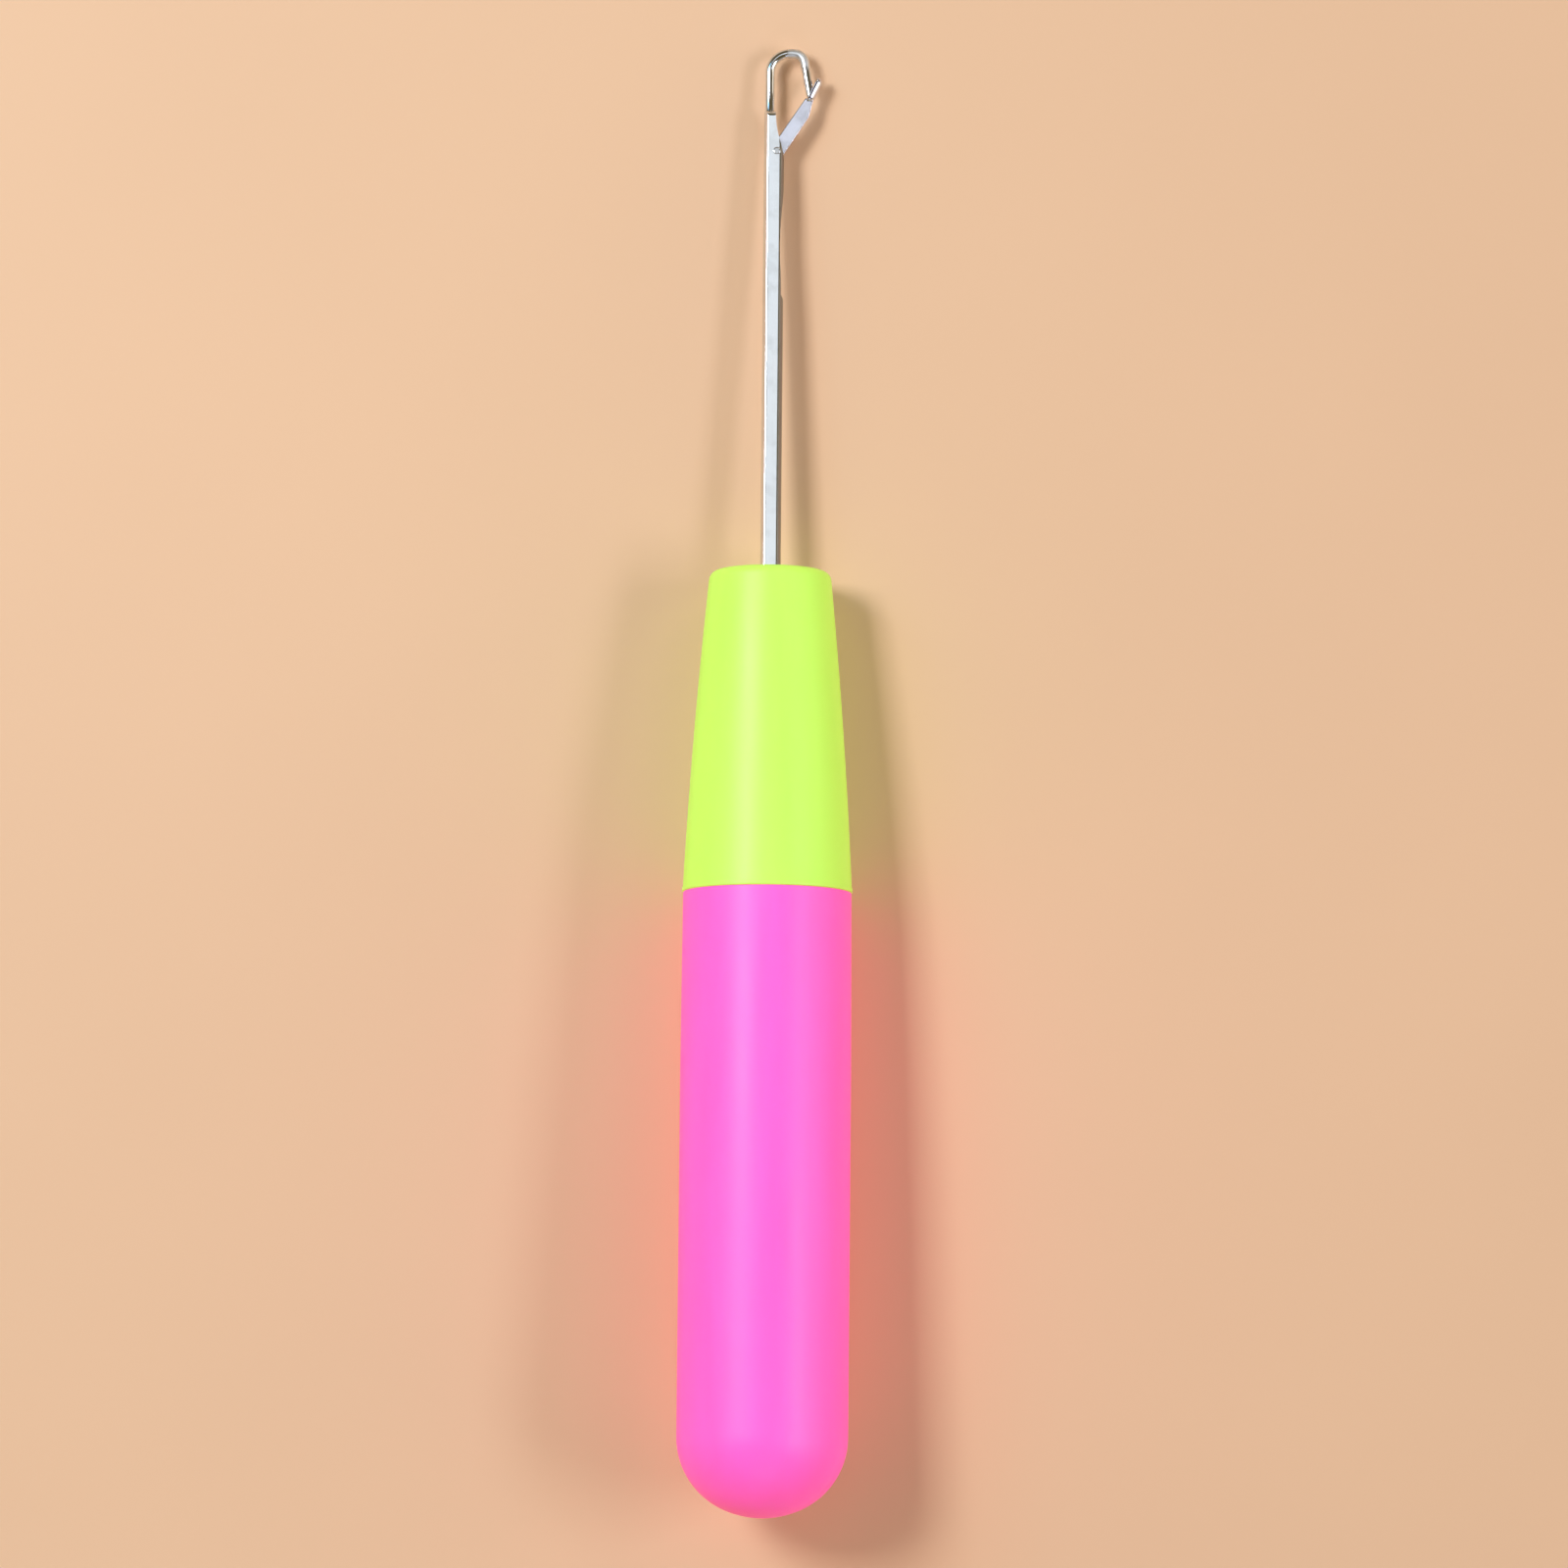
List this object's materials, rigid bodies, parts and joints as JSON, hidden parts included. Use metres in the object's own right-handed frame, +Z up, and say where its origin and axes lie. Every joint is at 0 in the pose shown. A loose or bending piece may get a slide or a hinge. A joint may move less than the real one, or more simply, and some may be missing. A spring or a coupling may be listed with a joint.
{
  "type": "latch hook tool",
  "caption": "Hand tool with a steel latch needle, its hook closed by a pivoting latch, in a round two-piece moulded grip with a domed tail.",
  "frame": {"origin": "middle of the bounding box's underside, on the surface that the tool lies on", "axes": "+Y along the tool toward the hook, +X to the side that the hook's mouth opens to, +Z up"},
  "size_m": [0.019, 0.165, 0.019],
  "materials": {
    "steel": "bright nickel plate",
    "lime_plastic": "satin moulded",
    "pink_plastic": "satin moulded"
  },
  "bodies": {
    "tool": {"needle": "steel", "latch_rivet": "steel", "front_grip": "lime_plastic", "rear_grip": "pink_plastic"},
    "latch_arm": {"latch": "steel"}
  },
  "joints": [
    {"name": "latch_pivot", "type": "hinge", "parent": "tool", "child": "latch_arm", "pos_m": [0.0003, 0.0707, 0.0095], "axis": [0, 0, -1], "range_deg": [0, 140]}
  ]
}
